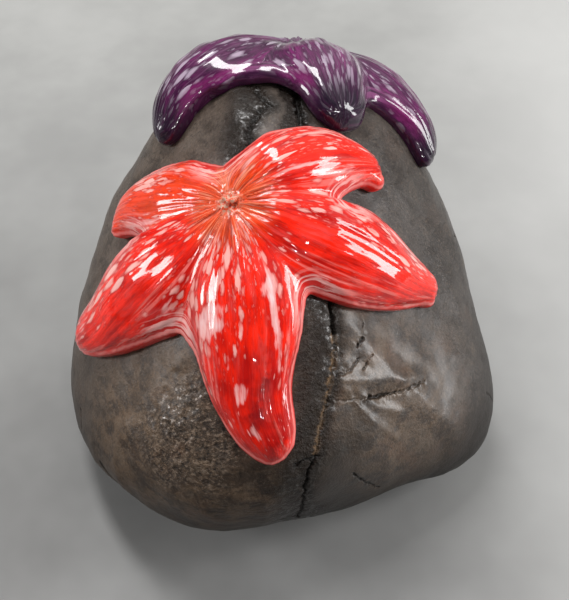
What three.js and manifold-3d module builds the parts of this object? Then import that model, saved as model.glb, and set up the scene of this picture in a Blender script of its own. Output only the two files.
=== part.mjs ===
import * as THREE from 'three';
import { mergeVertices } from 'three/addons/utils/BufferGeometryUtils.js';
import Module from 'manifold-3d';

// A hand-made glass sculpture: a large red starfish and a smaller purple one, each slumped hot
// over a dark river stone that stands on its sawn foot. Millimetres, +Z up. The origin is on the
// floor under the middle of the piece. The front is -Y, with +X to the viewer's right.
//
// A place on the stone is a direction from the stone's middle: a turn in degrees from the front
// (-Y) towards +X, and a rise in degrees above level. The red starfish is modelled whole, then
// parted by thin cuts into its disc and its five arms.

const wasm = await Module();
wasm.setup();

// ---- driving dimensions ------------------------------------------------------------------

const stoneMiddle = new THREE.Vector3(1.5, 5.9, 58);
const facetBlend = 7;
const stoneDetail = 10;
const slopeStep = 0.02;
const floorBlock = 400;

// The stone's soft facets: where each one faces, and how far it lies from the stone's middle.
const facets = [
  { name: 'front slope', turn: 0, rise: 50, distance: 79 },
  { name: 'left slope', turn: -62, rise: 42, distance: 65 },
  { name: 'right slope', turn: 62, rise: 42, distance: 60 },
  { name: 'top', turn: 180, rise: 75, distance: 97 },
  { name: 'left flank', turn: -90, rise: 0, distance: 95 },
  { name: 'right flank', turn: 90, rise: 0, distance: 85 },
  { name: 'left front corner', turn: -50, rise: -20, distance: 117 },
  { name: 'right front corner', turn: 50, rise: -20, distance: 98 },
  { name: 'chin', turn: 0, rise: -35, distance: 75 },
  { name: 'left shoulder', turn: -130, rise: 28, distance: 93 },
  { name: 'right shoulder', turn: 130, rise: 28, distance: 102 },
  { name: 'right crown', turn: 150, rise: 38, distance: 100 },
  { name: 'back shoulder', turn: 180, rise: 40, distance: 103 },
  { name: 'back', turn: 180, rise: -5, distance: 92 },
  { name: 'left heel', turn: -135, rise: -10, distance: 69 },
  { name: 'right heel', turn: 135, rise: -10, distance: 66 },
  { name: 'underside', turn: 0, rise: -90, distance: 62 },
];

// Low swells on the facets, and one dip where the cleft runs out under the chin.
const swells = [
  { name: 'left lobe', turn: -15, rise: -19, height: 19.5, spread: 26 },
  { name: 'right corner', turn: 57, rise: -20, height: 13, spread: 20 },
  { name: 'front corner', turn: 16, rise: -22, height: 6, spread: 13 },
  { name: 'cleft', turn: 3, rise: -32, height: -4, spread: 11 },
];

// Each arm leaves the disc at a heading (degrees, 0 to the viewer's right, 90 uphill) and runs
// for its reach, in degrees round the stone's middle. It bends evenly on the way and hooks near
// its end. Width is the full width at the belly, and tip the share of it left at the end. Web is
// the reach of the notch between this arm and the next one round. Toe is how far the small knob
// that finishes the arm stands to its left. Plump is the belly's height over the rim as a part
// of the arm's width, and hub the disc's height over the rim.
const redArms = [
  { name: 'front', heading: -82, reach: 60, bend: -8, hook: 6, width: 39, tip: 0.45, web: 30, toe: 4 },
  { name: 'right', heading: -17, reach: 75, bend: 1, hook: 2, width: 40, tip: 0.27, web: 28, toe: -3 },
  { name: 'back_right', heading: 41, reach: 48, bend: -13, hook: 0, width: 25, tip: 0.36, web: 13, toe: -5 },
  { name: 'back_left', heading: 157, reach: 49, bend: 4, hook: 4, width: 30, tip: 0.43, web: 31, toe: 4 },
  { name: 'left', heading: -159, reach: 69, bend: 5, hook: -4, width: 45, tip: 0.38, web: 38, toe: 2 },
];
const redStar = {
  turn: -38, rise: 67.4, discRadius: 20, plump: 0.26, hub: 6.5, spokes: 18, arms: redArms,
};

const purpleArms = [
  { name: 'front', heading: -65, reach: 33, bend: -5, hook: 1, width: 32, tip: 0.44, web: 24, toe: 0 },
  { name: 'right', heading: -5, reach: 45, bend: -3, hook: -4, width: 29, tip: 0.27, web: 23, toe: -2 },
  { name: 'back_right', heading: 62, reach: 44, bend: 6, hook: 4, width: 31, tip: 0.34, web: 20, toe: 2 },
  { name: 'back_left', heading: 128, reach: 42, bend: -6, hook: -4, width: 31, tip: 0.34, web: 17, toe: -2 },
  { name: 'left', heading: -160, reach: 44, bend: 5, hook: 4, width: 33, tip: 0.3, web: 24, toe: 1 },
];
const purpleStar = {
  turn: 175, rise: 50, plump: 0.33, hub: 6, spokes: 14, arms: purpleArms,
};

// What all arms share: the width and height at the root as parts of the belly's, where along
// the arm the belly lies, how late it tapers, the height left at the tip, the length that the
// tip rounds off, and where the hook starts.
const rootWidth = 0.8;
const rootHeight = 0.42;
const belly = 0.44;
const taper = 1.6;
const tipHeight = 0.5;
const tipRound = 0.1;
const hookStart = 0.72;

// The knob on an arm's end: its radius, how high its middle stands, and where along the arm.
const toeRadius = 4;
const toeLift = 3.2;
const toeShare = 0.94;
const toeSides = 8;
const toeRings = 6;

// The glass is widest at its rim. Below that it tucks in and sinks into the stone, which cuts
// it off a gap clear of its own skin.
const rimHeight = 2.4;
const sinkDepth = 3;
const tuck = 0.93;
const glassGap = 0.3;

// How the blank is laid out: rings from rim to crown, the part of the way out from a notch in
// which the edge comes round on to the arm's flank, and how sharply flank meets flank and arm
// meets hub.
const domeRings = 9;
const notchRound = 0.3;
const flankBlend = 8;
const hubBlend = 4;

// The cuts that part the red starfish. They start inside the disc, discRoot degrees from its
// middle, and run out past the arms.
const cutWidth = 0.35;
const cutDepth = 130;
const cutReach = 200;
const discRoot = 5;
const columnSides = 40;

const joinDistance = 0.001;
const weldDistance = 0.01;
const tiny = 1e-6;

const glassRed = new THREE.MeshStandardMaterial({ color: 0xd63a2c, roughness: 0.06, metalness: 0 });
const glassPurple = new THREE.MeshStandardMaterial({ color: 0x5b3558, roughness: 0.06, metalness: 0 });
const riverStone = new THREE.MeshStandardMaterial({ color: 0x4d4640, roughness: 0.55, metalness: 0 });

// ---- joining and cutting -----------------------------------------------------------------

function toSolid(geometry) {
  const bare = geometry.clone();
  bare.deleteAttribute('normal');
  bare.deleteAttribute('uv');
  const merged = mergeVertices(bare, joinDistance);
  const vertProperties = Float32Array.from(merged.attributes.position.array);
  const triVerts = Uint32Array.from(merged.index.array);
  return new wasm.Manifold(new wasm.Mesh({ numProp: 3, vertProperties, triVerts }));
}

// Corners closer together than the weld are made one, and the slivers between them dropped.
function weldCorners(geometry) {
  const welded = mergeVertices(geometry, weldDistance);
  const corners = welded.index.array;
  const kept = [];
  for (let i = 0; i < corners.length; i += 3) {
    const [a, b, c] = corners.slice(i, i + 3);
    if (a !== b && b !== c && c !== a) {
      kept.push(a, b, c);
    }
  }
  welded.setIndex(kept);
  return welded;
}

function toMesh(name, solid, material) {
  const { vertProperties, triVerts } = solid.getMesh();
  const cut = new THREE.BufferGeometry();
  cut.setAttribute('position', new THREE.BufferAttribute(vertProperties, 3));
  cut.setIndex(new THREE.BufferAttribute(triVerts, 1));
  const geometry = weldCorners(cut);
  geometry.computeVertexNormals();
  const mesh = new THREE.Mesh(geometry, material);
  mesh.name = name;
  return mesh;
}

function reshape(geometry, place) {
  const position = geometry.attributes.position;
  const vertex = new THREE.Vector3();
  for (let i = 0; i < position.count; i += 1) {
    vertex.fromBufferAttribute(position, i);
    place(vertex);
    position.setXYZ(i, vertex.x, vertex.y, vertex.z);
  }
  return geometry;
}

// ---- the stone ---------------------------------------------------------------------------

const { degToRad, radToDeg, lerp, smoothstep, euclideanModulo } = THREE.MathUtils;

function direction(turn, rise) {
  const level = Math.cos(degToRad(rise));
  return new THREE.Vector3(
    Math.sin(degToRad(turn)) * level,
    -Math.cos(degToRad(turn)) * level,
    Math.sin(degToRad(rise)),
  );
}

for (const feature of [...facets, ...swells]) {
  feature.toward = direction(feature.turn, feature.rise);
}

function stoneReach(toward) {
  let blend = 0;
  for (const facet of facets) {
    blend += Math.max(0, toward.dot(facet.toward) / facet.distance) ** facetBlend;
  }
  let reach = blend ** (-1 / facetBlend);
  for (const swell of swells) {
    const offset = radToDeg(toward.angleTo(swell.toward)) / swell.spread;
    reach += swell.height * Math.exp(-(offset ** 2));
  }
  return reach;
}

function stonePoint(toward) {
  return toward.clone().multiplyScalar(stoneReach(toward)).add(stoneMiddle);
}

function stoneNormal(toward) {
  const aside = new THREE.Vector3(1, 0, 0).cross(toward).normalize();
  const along = toward.clone().cross(aside);
  const slope = (way) => {
    const ahead = stonePoint(toward.clone().addScaledVector(way, slopeStep).normalize());
    const behind = stonePoint(toward.clone().addScaledVector(way, -slopeStep).normalize());
    return ahead.sub(behind);
  };
  return slope(aside).cross(slope(along)).normalize();
}

function overStone(toward, height) {
  return stonePoint(toward).addScaledVector(stoneNormal(toward), height);
}

// The stone's whole rounded form, before it is sawn flat, with its skin moved out.
function boulder(skin) {
  const blank = new THREE.IcosahedronGeometry(1, stoneDetail);
  return toSolid(reshape(blank, (vertex) => vertex.copy(overStone(vertex.clone().normalize(), skin))));
}

function makeStone() {
  const belowFloor = new THREE.BoxGeometry(floorBlock, floorBlock, floorBlock);
  return boulder(0).subtract(toSolid(belowFloor.translate(0, 0, -floorBlock / 2)));
}

// ---- the starfish ------------------------------------------------------------------------

function starFrame(star) {
  const toward = direction(star.turn, star.rise);
  const right = new THREE.Vector3(1, 0, 0);
  right.addScaledVector(toward, -right.dot(toward)).normalize();
  return { toward, right, uphill: toward.clone().cross(right) };
}

function awayFrom(frame, heading, reach) {
  const way = frame.right.clone().multiplyScalar(Math.cos(degToRad(heading)));
  way.addScaledVector(frame.uphill, Math.sin(degToRad(heading)));
  const away = frame.toward.clone().multiplyScalar(Math.cos(degToRad(reach)));
  return away.addScaledVector(way, Math.sin(degToRad(reach)));
}

function swelling(share, root, tip) {
  if (share < belly) {
    return lerp(root, 1, smoothstep(share, 0, belly));
  }
  return lerp(1, tip, ((share - belly) / (1 - belly)) ** taper);
}

function tipRounding(share) {
  const intoTip = Math.max(0, 1 - (1 - share) / tipRound);
  return Math.sqrt(Math.max(0, 1 - intoTip ** 2));
}

function sway(arm, share) {
  return arm.bend * share + arm.hook * smoothstep(share, hookStart, 1);
}

function spineAt(star, arm, share) {
  return awayFrom(starFrame(star), arm.heading + sway(arm, share), arm.reach * share);
}

// Half of an arm's width, in degrees round the stone's middle.
function halfWidth(star, arm, share) {
  const width = (arm.width / 2) * swelling(share, rootWidth, arm.tip) * tipRounding(share);
  return radToDeg(width / stoneReach(spineAt(star, arm, share)));
}

// The narrower of two angles, with the change from one to the other rounded off. It keeps an
// arm's flank short of its neighbour's where the two run side by side.
function narrower(a, b) {
  return (Math.max(a, tiny) ** -flankBlend + b ** -flankBlend) ** (-1 / flankBlend);
}

// The heading of the notch between an arm and the next one round.
function notchHeading(arm, next) {
  const across = euclideanModulo(next.heading - arm.heading, 360);
  const swayed = sway(arm, arm.web / arm.reach) + sway(next, arm.web / next.reach);
  return arm.heading + (across + swayed) / 2;
}

// The turn from one heading to another, the short way round.
function turnBetween(from, to) {
  return euclideanModulo(to - from + 180, 360) - 180;
}

function neighbours(star, index) {
  const { length } = star.arms;
  return { before: star.arms[(index + length - 1) % length], after: star.arms[(index + 1) % length] };
}

// A star's edge is walked from notch to tip to notch, one arm after another. A point of it is
// given by its arm, its share of the arm's length, and its heading and reach from the disc.
function edgeAt(star, walk) {
  const index = Math.floor(walk) % star.arms.length;
  const arm = star.arms[index];
  const { before, after } = neighbours(star, index);
  const offset = 2 * (walk - Math.floor(walk)) - 1;
  const side = offset < 0 ? -1 : 1;
  const toTip = 1 - Math.abs(offset);
  const [first, second] = side < 0 ? [before, arm] : [arm, after];
  const notch = turnBetween(arm.heading, notchHeading(first, second));
  const start = (first.web / arm.reach) * Math.cos(degToRad(notch));
  const atNotch = notch - sway(arm, start);
  const share = lerp(start, 1, Math.sin(toTip * Math.PI / 2));
  const half = halfWidth(star, arm, share);
  const flank = narrower(radToDeg(Math.atan2(half, arm.reach * share)), Math.abs(atNotch));
  const onFlank = smoothstep(toTip, 0, notchRound);
  return {
    arm,
    share,
    aside: lerp(atNotch, side * flank, onFlank),
    reach: lerp(first.web, Math.hypot(half, arm.reach * share), onFlank),
  };
}

// Height over the rim at a part of the way out to the edge: the arm's dome or the hub's,
// whichever is higher, run softly into each other.
function domeHeight(star, edge, out) {
  const along = edge.reach * out * Math.cos(degToRad(edge.aside));
  const across = edge.reach * out * Math.sin(degToRad(edge.aside));
  const share = Math.min(1, Math.max(0, along / edge.arm.reach));
  const width = Math.max(tiny, halfWidth(star, edge.arm, share));
  const arch = Math.sqrt(Math.max(0, 1 - (across / width) ** 2));
  const crest = star.plump * edge.arm.width;
  const arm = crest * swelling(share, rootHeight, tipHeight) * tipRounding(share) * arch;
  const hub = star.hub * Math.sqrt(Math.max(0, 1 - out ** 2));
  return (arm ** hubBlend + hub ** hubBlend) ** (1 / hubBlend);
}

// The blank's half section, one unit wide and one unit high, on one unit of foot.
function blankProfile() {
  const profile = [new THREE.Vector2(0, -1), new THREE.Vector2(tuck / 2, -1), new THREE.Vector2(tuck, -1)];
  for (let ring = 0; ring < domeRings; ring += 1) {
    const climb = (ring / domeRings) * Math.PI / 2;
    profile.push(new THREE.Vector2(Math.cos(climb), Math.sin(climb)));
  }
  profile.push(new THREE.Vector2(0, 1));
  return profile;
}

// The blank is turned on a lathe with a fixed number of spokes to each arm. Its spokes are then
// laid out along the arms, and the stone cuts it off below.
function makeStar(star) {
  const frame = starFrame(star);
  const blank = new THREE.LatheGeometry(blankProfile(), star.spokes * star.arms.length);
  const body = reshape(blank, (vertex) => {
    const out = Math.hypot(vertex.x, vertex.z);
    const turned = Math.atan2(vertex.x, vertex.z) / (2 * Math.PI);
    const edge = edgeAt(star, euclideanModulo(turned, 1) * star.arms.length);
    const heading = edge.arm.heading + edge.aside + sway(edge.arm, edge.share * out);
    const toward = awayFrom(frame, heading, edge.reach * out);
    const overRim = vertex.y > 0 ? domeHeight(star, edge, out) : (rimHeight + sinkDepth) * vertex.y;
    vertex.copy(overStone(toward, rimHeight + overRim));
  });
  let whole = toSolid(body);
  for (const arm of star.arms) {
    whole = whole.add(toSolid(makeToe(star, arm)));
  }
  return whole.subtract(boulder(glassGap));
}

function makeToe(star, arm) {
  const spine = spineAt(star, arm, toeShare);
  const onward = stonePoint(spineAt(star, arm, 1)).sub(stonePoint(spine));
  const left = stoneNormal(spine).cross(onward).normalize();
  const beside = stonePoint(spine).addScaledVector(left, arm.toe).sub(stoneMiddle).normalize();
  const centre = overStone(beside, toeLift);
  return new THREE.SphereGeometry(toeRadius, toeSides, toeRings).translate(...centre);
}

// ---- parting the red starfish ------------------------------------------------------------

// The disc's place: on the stone, with X to the right, Y uphill and Z out of the stone.
function discPlace(star) {
  const frame = starFrame(star);
  const axis = stoneNormal(frame.toward);
  const right = frame.right.clone().addScaledVector(axis, -frame.right.dot(axis)).normalize();
  const place = new THREE.Matrix4().makeBasis(right, axis.clone().cross(right), axis);
  return place.setPosition(stonePoint(frame.toward));
}

function discColumn(star, radius) {
  const column = new THREE.CylinderGeometry(radius, radius, 2 * cutDepth, columnSides);
  return toSolid(column.rotateX(Math.PI / 2).applyMatrix4(discPlace(star)));
}

function flankHeading(star, arm, reach, side) {
  const share = Math.min(1, reach / arm.reach);
  const half = halfWidth(star, arm, share);
  return arm.heading + sway(arm, share) + side * radToDeg(Math.atan2(half, reach));
}

// The line between an arm and the next one round, as it looks along the disc's axis. It starts
// inside the disc, passes the notch, runs out midway between the flanks and is set over to its
// left.
function partingLine(star, arm, next, setOver) {
  const toDisc = discPlace(star).invert();
  const pointAt = (heading, reach) => {
    const point = stonePoint(awayFrom(starFrame(star), heading, reach)).applyMatrix4(toDisc);
    return new THREE.Vector2(point.x, point.y);
  };
  const between = (reach) => {
    const from = flankHeading(star, arm, reach, 1);
    const to = flankHeading(star, next, reach, -1);
    return pointAt(from + turnBetween(from, to) / 2, reach);
  };
  const tips = Math.min(arm.reach, next.reach);
  const root = pointAt(notchHeading(arm, next), discRoot);
  const notch = pointAt(notchHeading(arm, next), arm.web);
  const outside = between((arm.web + tips) / 2);
  const tip = between(tips);
  const far = tip.clone().addScaledVector(tip.clone().sub(outside).normalize(), cutReach);
  const left = notch.clone().sub(root).normalize().rotateAround(new THREE.Vector2(), Math.PI / 2);
  return [root, notch, outside, tip, far].map((point) => point.addScaledVector(left, setOver));
}

function armWedge(star, before, arm, after) {
  const from = partingLine(star, before, arm, cutWidth / 2);
  const to = partingLine(star, arm, after, -cutWidth / 2);
  const outline = new THREE.Shape([...from, ...to.reverse()]);
  const wedge = new THREE.ExtrudeGeometry(outline, { depth: 2 * cutDepth, bevelEnabled: false });
  return toSolid(wedge.translate(0, 0, -cutDepth).applyMatrix4(discPlace(star)));
}

// ---- the sculpture -----------------------------------------------------------------------

const sculpture = new THREE.Group();
sculpture.add(toMesh('stone', makeStone(), riverStone));

const redWhole = makeStar(redStar);
const redDisc = redWhole.intersect(discColumn(redStar, redStar.discRadius));
sculpture.add(toMesh('red_star_disc', redDisc, glassRed));

const redRest = redWhole.subtract(discColumn(redStar, redStar.discRadius + cutWidth));
redStar.arms.forEach((arm, i) => {
  const { before, after } = neighbours(redStar, i);
  const piece = redRest.intersect(armWedge(redStar, before, arm, after));
  sculpture.add(toMesh(`red_star_arm_${arm.name}`, piece, glassRed));
});

sculpture.add(toMesh('purple_star', makeStar(purpleStar), glassPurple));

export default sculpture;
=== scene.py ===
import math
import bpy
import numpy as np
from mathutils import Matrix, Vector, noise
from mathutils.bvhtree import BVHTree
from mathutils.kdtree import KDTree


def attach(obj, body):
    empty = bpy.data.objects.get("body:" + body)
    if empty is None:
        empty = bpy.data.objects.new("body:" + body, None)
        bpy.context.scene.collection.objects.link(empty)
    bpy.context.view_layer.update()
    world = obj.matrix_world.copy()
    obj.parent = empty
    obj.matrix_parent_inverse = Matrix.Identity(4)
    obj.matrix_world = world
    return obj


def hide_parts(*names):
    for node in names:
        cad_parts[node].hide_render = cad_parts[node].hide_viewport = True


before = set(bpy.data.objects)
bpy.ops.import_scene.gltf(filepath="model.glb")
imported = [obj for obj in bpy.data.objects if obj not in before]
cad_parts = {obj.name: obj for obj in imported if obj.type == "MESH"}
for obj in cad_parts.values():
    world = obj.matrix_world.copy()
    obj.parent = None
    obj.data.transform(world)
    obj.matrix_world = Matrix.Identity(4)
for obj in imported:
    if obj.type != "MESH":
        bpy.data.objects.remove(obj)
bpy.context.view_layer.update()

# Everything is in metres in the part's own frame: +Z up, the front is -Y, +X to the right.
# Places on the stone are told as the part tells them: a turn in degrees from the front
# towards +X and a rise above level, seen from a point in the middle of the stone.
stoneMiddle = np.array([0.0015, 0.0059, 0.058])
mm = 0.001
arc = 1.55 * mm                                   # one degree round the stone's middle
weld = 0.01 * mm                                  # points closer than this become one
noiseShift = (7.3, -3.1, 5.9)                     # how far apart the seeds' noises are read
noiseGain = 1.6                                   # brings noise out to about -1 to 1
noiseSeed = 12
noise.seed_set(noiseSeed)                         # without it noise_vector differs in each run


# Small helpers for numbers and meshes.
def smooth(value, start, end):                    # 0 before start, 1 after end, eased between
    share = np.clip((value - start) / (end - start), 0, 1)
    return share * share * (3 - 2 * share)


def bell(value, middle, width):                   # 1 at its middle, falling softly on both sides
    return np.exp(-((value - middle) / width) ** 2)


def unit(vectors):
    return vectors / np.linalg.norm(vectors, axis=-1, keepdims=True)


def towards(turn, rise):
    turn, rise = math.radians(turn), math.radians(rise)
    return np.array([math.sin(turn) * math.cos(rise), -math.cos(turn) * math.cos(rise), math.sin(rise)])


def readPoints(piece, what="co"):
    flat = np.empty(len(piece.data.vertices) * 3)
    piece.data.vertices.foreach_get(what, flat)
    return flat.reshape(-1, 3)


def movePoints(piece, points):
    piece.data.vertices.foreach_set("co", points.ravel())
    piece.data.update()


def paint(piece, name, values):                   # numbers or vectors at the points, for the shaders
    values = np.asarray(values, dtype=np.float32)
    if values.ndim == 2:
        piece.data.attributes.new(name, "FLOAT_VECTOR", "POINT").data.foreach_set("vector", values.ravel())
    else:
        piece.data.attributes.new(name, "FLOAT", "POINT").data.foreach_set("value", values)


def nearest(places, points):                      # index and distance of the closest place
    tree = KDTree(len(places))
    for index, place in enumerate(places):
        tree.insert(place, index)
    tree.balance()
    found = [tree.find(point) for point in points]
    return np.array([hit[1] for hit in found]), np.array([hit[2] for hit in found])


def wander(points, size, seed):                   # smooth noise, from about -1 to 1
    away = Vector([seed * part for part in noiseShift])
    return np.array([noise.noise(Vector(point) / size + away) for point in points]) * noiseGain


def pick(piece):
    bpy.ops.object.select_all(action="DESELECT")
    piece.select_set(True)
    bpy.context.view_layer.objects.active = piece


def applyModifier(piece, kind, **settings):
    pick(piece)
    modifier = piece.modifiers.new(kind.title(), kind)
    for name, value in settings.items():
        setattr(modifier, name, value)
    bpy.ops.object.modifier_apply(modifier=modifier.name)


def copyNodes(name, nodes):                       # the CAD nodes' meshes, copied and made one
    copies = []
    for node in nodes:
        copy = bpy.data.objects.new(name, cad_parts[node].data.copy())
        bpy.context.scene.collection.objects.link(copy)
        copy.data.materials.clear()
        copies.append(copy)
    pick(copies[0])
    for copy in copies:
        copy.select_set(True)
    if len(copies) > 1:
        bpy.ops.object.join()
    piece = bpy.context.view_layer.objects.active
    pick(piece)
    bpy.ops.object.mode_set(mode="EDIT")
    bpy.ops.mesh.select_all(action="SELECT")
    bpy.ops.mesh.remove_doubles(threshold=weld)
    bpy.ops.object.mode_set(mode="OBJECT")
    piece.name = name
    piece.data.name = name
    return piece


def reskin(piece, swell, voxel, relax, levels):   # one smooth closed skin, a little fuller than the nodes
    applyModifier(piece, "DISPLACE", strength=swell, mid_level=0)
    applyModifier(piece, "REMESH", mode="VOXEL", voxel_size=voxel)
    applyModifier(piece, "SMOOTH", factor=0.5, iterations=relax)
    applyModifier(piece, "SUBSURF", levels=levels, render_levels=levels)


def refine(piece, wanted):                        # halves the faces whose points are all wanted
    pick(piece)
    bpy.ops.object.mode_set(mode="EDIT")
    bpy.ops.mesh.select_all(action="DESELECT")
    bpy.ops.object.mode_set(mode="OBJECT")
    for face in piece.data.polygons:
        face.select = all(wanted[vertex] for vertex in face.vertices)
    bpy.ops.object.mode_set(mode="EDIT")
    bpy.ops.mesh.select_mode(type="FACE")
    bpy.ops.mesh.subdivide(number_cuts=1)
    bpy.ops.object.mode_set(mode="OBJECT")


def skinTree(piece):                              # for finding the closest place on a skin
    places = [vertex.co for vertex in piece.data.vertices]
    return BVHTree.FromPolygons(places, [face.vertices for face in piece.data.polygons])


def finishPiece(piece, slotName, material, *nodes):
    pick(piece)
    bpy.ops.object.shade_smooth()
    piece.data.materials.clear()
    piece.data.materials.append(material)
    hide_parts(*nodes)
    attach(piece, "root")
    triangles = sum(len(face.vertices) - 2 for face in piece.data.polygons)
    print(piece.name, triangles, "triangles")


# Shader maths: a wire is a socket that can be added, multiplied and so on.
class Wire:
    def __init__(self, sheet, socket):
        self.sheet = sheet
        self.socket = socket

    def math(self, operation, *others):
        return self.sheet.add("ShaderNodeMath", {"operation": operation}, [self, *others])

    def __add__(self, other):
        return self.math("ADD", other)

    def __radd__(self, other):
        return self.math("ADD", other)

    def __sub__(self, other):
        return self.math("SUBTRACT", other)

    def __rsub__(self, other):
        return self.sheet.add("ShaderNodeMath", {"operation": "SUBTRACT"}, [other, self])

    def __mul__(self, other):
        return self.math("MULTIPLY", other)

    def __rmul__(self, other):
        return self.math("MULTIPLY", other)

    def __truediv__(self, other):
        return self.math("DIVIDE", other)

    def __abs__(self):
        return self.math("ABSOLUTE")

    def clipped(self):
        return self.sheet.add("ShaderNodeClamp", {}, [self])

    def between(self, start, end):                # eased from 0 at start to 1 at end
        settings = {"interpolation_type": "SMOOTHSTEP"}
        inputs = {"Value": self, "From Min": start, "From Max": end}
        return self.sheet.add("ShaderNodeMapRange", settings, inputs)

    def near(self, middle, width):                # 1 at the middle, 0 beyond the width
        return 1 - abs(self - middle).between(0, width)


class Sheet:                                      # a material under one Principled shader
    def __init__(self, name, **shader):
        self.material = bpy.data.materials.new(name)
        self.material.use_nodes = True
        self.tree = self.material.node_tree
        self.shader = self.tree.nodes["Principled BSDF"]
        for socket, value in shader.items():
            self.shader.inputs[socket.replace("_", " ")].default_value = value

    def add(self, kind, settings={}, inputs=(), out=0):
        node = self.tree.nodes.new(kind)
        for name, value in settings.items():
            setattr(node, name, value)
        for key, value in inputs.items() if isinstance(inputs, dict) else enumerate(inputs):
            if isinstance(value, Wire):
                self.tree.links.new(value.socket, node.inputs[key])
            else:
                node.inputs[key].default_value = value
        return Wire(self, node.outputs[out])

    def feed(self, **wires):
        for socket, wire in wires.items():
            self.tree.links.new(wire.socket, self.shader.inputs[socket.replace("_", " ")])

    def attribute(self, name, out="Fac"):
        return self.add("ShaderNodeAttribute", {"attribute_name": name}, out=out)

    def place(self):
        return self.add("ShaderNodeTexCoord", out="Object")

    def axis(self, vector, name):
        return self.add("ShaderNodeSeparateXYZ", {}, [vector], name)

    def stretch(self, vector, scale, shift=(0, 0, 0)):
        return self.add("ShaderNodeMapping", {}, {"Vector": vector, "Scale": scale, "Location": shift})

    def vectorMath(self, operation, *inputs, out=0):
        return self.add("ShaderNodeVectorMath", {"operation": operation}, inputs, out)

    def shake(self, vector, scale, amount):       # moves a pattern's places about by noise
        drift = self.noise(vector, scale, 2, out="Color")
        drift = self.vectorMath("SUBTRACT", drift, (0.5, 0.5, 0.5))
        drift = self.vectorMath("MULTIPLY", drift, (amount, amount, amount))
        return self.vectorMath("ADD", vector, drift)

    def noise(self, vector, scale, detail=3, roughness=0.55, distortion=0, out="Fac"):
        inputs = {"Vector": vector, "Scale": scale, "Detail": detail, "Roughness": roughness}
        return self.add("ShaderNodeTexNoise", {}, {**inputs, "Distortion": distortion}, out)

    def drawnNoise(self, vector, scale, *grain, shift=(0, 0, 0)):   # finer one way than another
        return self.noise(self.stretch(vector, scale, shift), 1, *grain)

    def cells(self, vector, scale, exponent, out="Distance"):
        inputs = {"Vector": vector, "Scale": scale, "Exponent": exponent}
        return self.add("ShaderNodeTexVoronoi", {"distance": "MINKOWSKI"}, inputs, out)

    def channel(self, colour, name):
        return self.add("ShaderNodeSeparateColor", {}, [colour], name)

    def mix(self, factor, first, second):         # a Mix node's colours are its sockets 6 and 7
        colours = [(*tone, 1) if isinstance(tone, tuple) else tone for tone in (first, second)]
        return self.add("ShaderNodeMix", {"data_type": "RGBA"}, {0: factor, 6: colours[0], 7: colours[1]}, 2)

    def lay(self, colour, mask, coat):            # a coat is its tone and how well it covers
        tone, cover = coat
        return self.mix(mask * cover, colour, tone)

    def relief(self, height, distance, strength, normal=None):
        inputs = {"Height": height, "Distance": distance, "Strength": strength}
        if normal:
            inputs["Normal"] = normal
        return self.add("ShaderNodeBump", {}, inputs)


def atLeast(least, mask):                         # a mask that never falls below the least
    return least + (1 - least) * mask


class Sky(Sheet):                                 # the same for the world's Background shader
    def __init__(self, name):
        self.world = bpy.data.worlds.new(name)
        self.world.use_nodes = True
        self.tree = self.world.node_tree
        self.shader = self.tree.nodes["Background"]


# The camera, a pale floor with painted light (lighter at the back and on the right), a window on each side, a
# skylight and two small lamps in front.
# Pairs are where something comes in and where it is complete, or a darker and a lighter tone.
stage = {
    "camera": {"at": (0.0015, -0.2500, 0.3568), "lookAt": (0.0015, -0.0041, 0.06375), "lens": 57.6},
    "sensorWidth": 36, "clipStart": 0.01,
    "floor": {
        "size": 6, "shader": {"Roughness": 0.85, "Specular_IOR_Level": 0.2},
        "clouds": (9, 4, 0.6), "cloudRange": (0.3, 0.7),
        # painted light: the floor is darker near the front and lighter far back
        "nearTones": ((0.195, 0.193, 0.191), (0.275, 0.273, 0.27)),
        "farTones": ((0.38, 0.38, 0.368), (0.47, 0.47, 0.454)), "far": (-0.25, 0.6),
        # painted light: paler on the right, where the right window lights the floor
        "paintedLightRight": ((0.6, 0.598, 0.585), 0.6), "right": (0.03, 0.2),
    },
    "lightsAim": (0, 0, 0.09),
    "lights": {
        "left window": {"at": (-0.92, 0.0, 0.44), "size": (0.2, 0.36), "power": 4.2},
        "right window": {"at": (0.95, -0.03, 0.53), "size": (0.22, 0.86), "power": 9.5},
        "skylight": {"at": (-0.2, 0.3, 1.02), "size": (0.15, 0.7), "power": 7.2},
        "front left": {"at": (0.02, -0.78, 0.8), "size": (0.03, 0.045), "power": 0.6},
        "front right": {"at": (0.26, -0.76, 0.78), "size": (0.03, 0.045), "power": 0.6},
    },
    # one broad soft light behind and over the right shoulder of the piece, and a paler horizon
    "sky": {"tone": (0.98, 0.97, 0.95, 1), "strength": 0.09, "glowWay": (0.25, 0.5, 0.83),
            "glowSpread": (0.55, 0.98), "glow": 0.6, "horizonSpread": (0.2, 0.0), "horizon": 0.3},
}


def aimAlong(thing, way):                         # cameras and lights look along their own -Z
    thing.rotation_euler = Vector(way).to_track_quat("-Z", "Y").to_euler()


def makeFloor(facts):
    bpy.ops.mesh.primitive_plane_add(size=facts["size"])
    floor = bpy.context.object
    floor.name = "floor"
    cloth = Sheet("pale floor", **facts["shader"])
    place = cloth.place()
    cloud = cloth.noise(place, *facts["clouds"]).between(*facts["cloudRange"])
    near = cloth.mix(cloud, *facts["nearTones"])
    far = cloth.mix(cloud, *facts["farTones"])
    # painted light: darker near the front, lighter far back and to the right
    colour = cloth.mix(cloth.axis(place, "Y").between(*facts["far"]), near, far)
    colour = cloth.lay(colour, cloth.axis(place, "X").between(*facts["right"]), facts["paintedLightRight"])
    cloth.feed(Base_Color=colour)
    floor.data.materials.append(cloth.material)


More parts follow.
